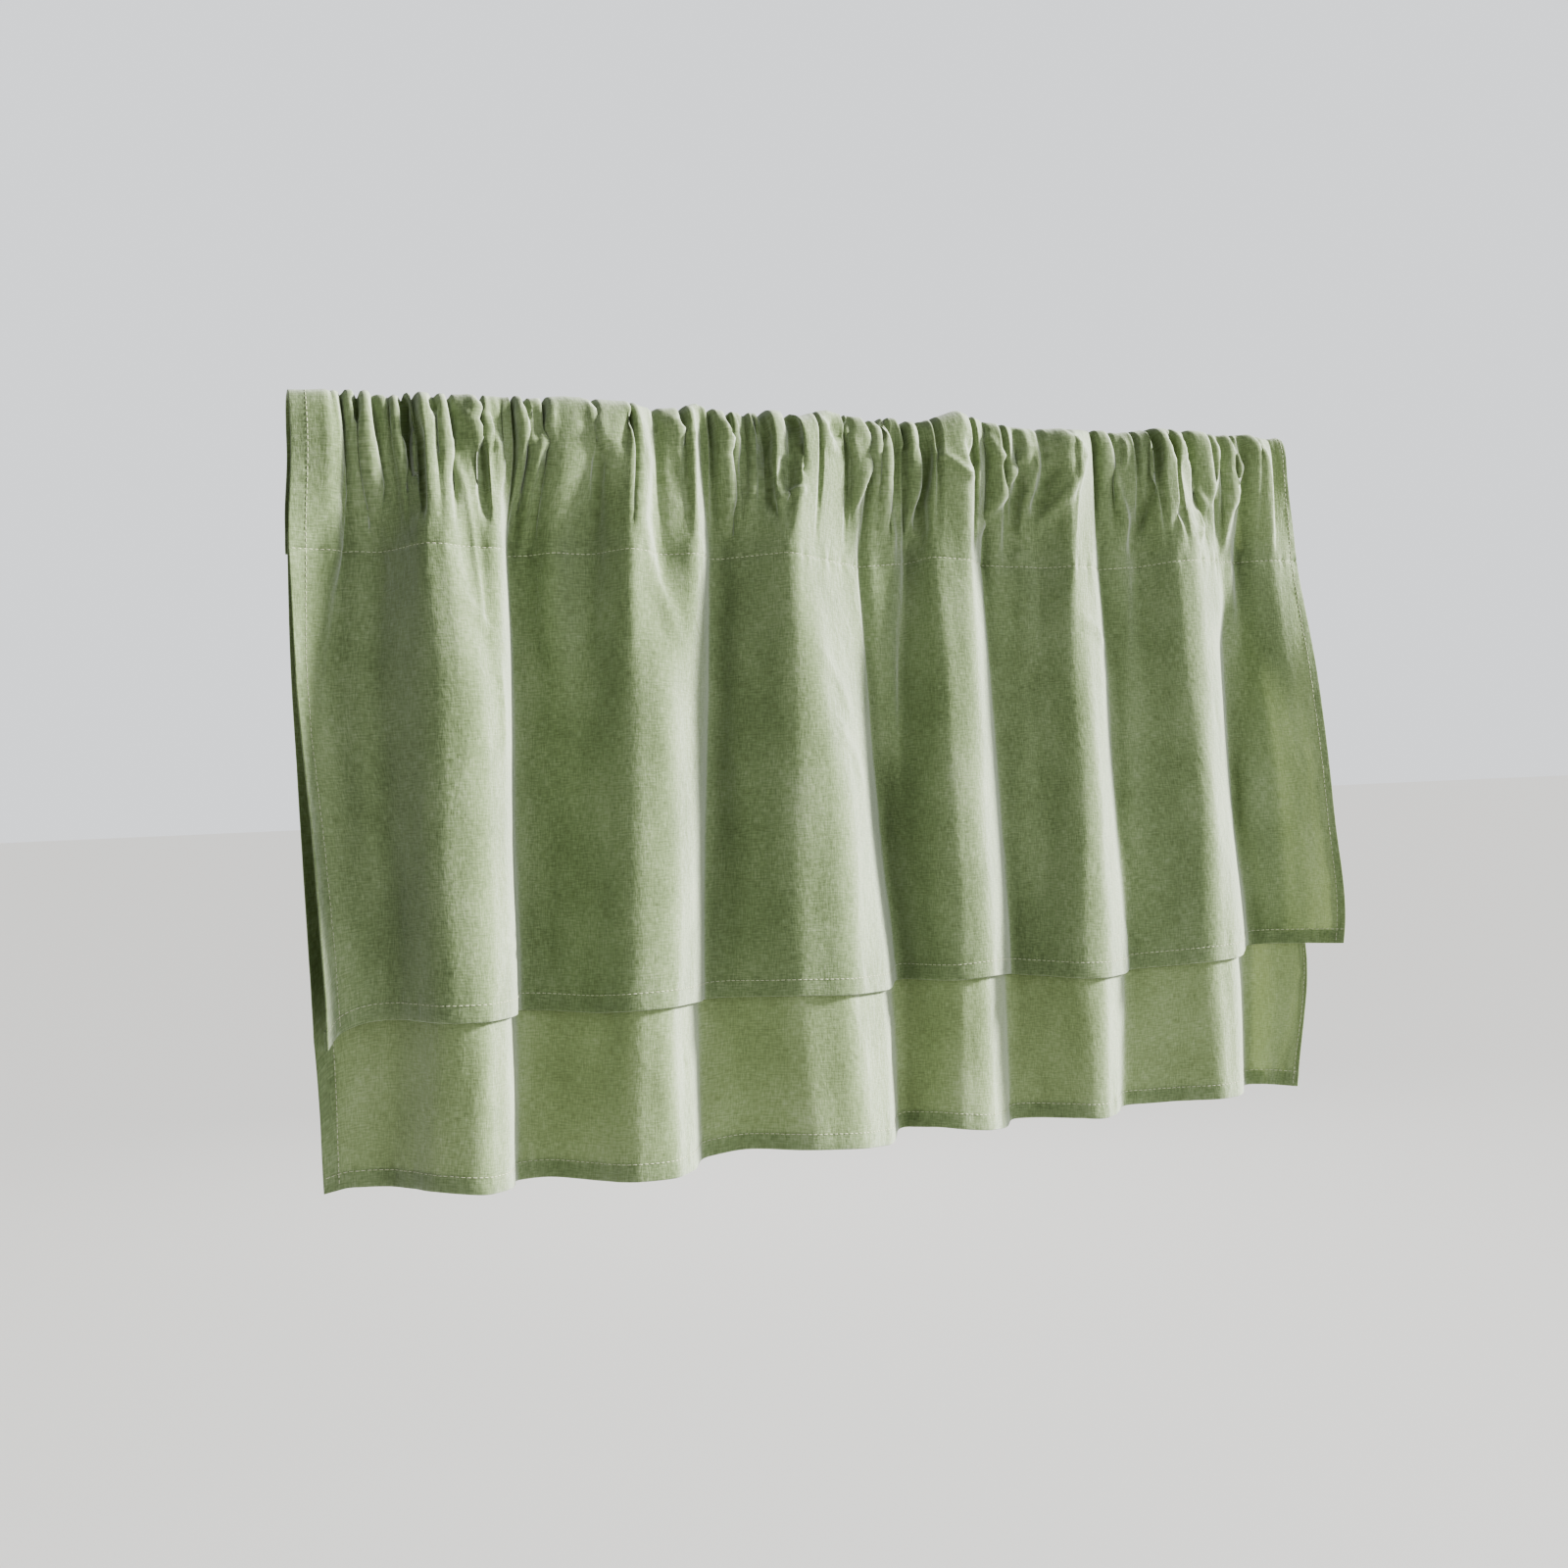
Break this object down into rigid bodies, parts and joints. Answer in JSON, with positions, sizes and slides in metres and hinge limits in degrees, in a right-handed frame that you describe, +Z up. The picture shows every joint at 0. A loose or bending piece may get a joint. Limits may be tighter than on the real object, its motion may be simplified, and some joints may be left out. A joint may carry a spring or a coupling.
{
  "type": "cafe curtain",
  "caption": "Gathered two-tier cafe curtain: a short front tier with a deep rod pocket over a longer back tier caught in the same row of stitches.",
  "frame": {"origin": "middle of the curtain's top edge, over the rod that would run through the pocket", "axes": "+X along the top edge, to the right as seen from the front; -Y out of the front; +Z up"},
  "size_m": [0.6781, 0.0919, 0.452],
  "materials": {
    "sage_cloth": "matte washed plain weave with slubs",
    "sage_cloth_backlit": "the same cloth in one layer, which lets light through",
    "thread": "pale matte sewing thread"
  },
  "bodies": {
    "root": {"front_tier": "sage_cloth", "back_tier": "sage_cloth_backlit"}
  },
  "joints": []
}
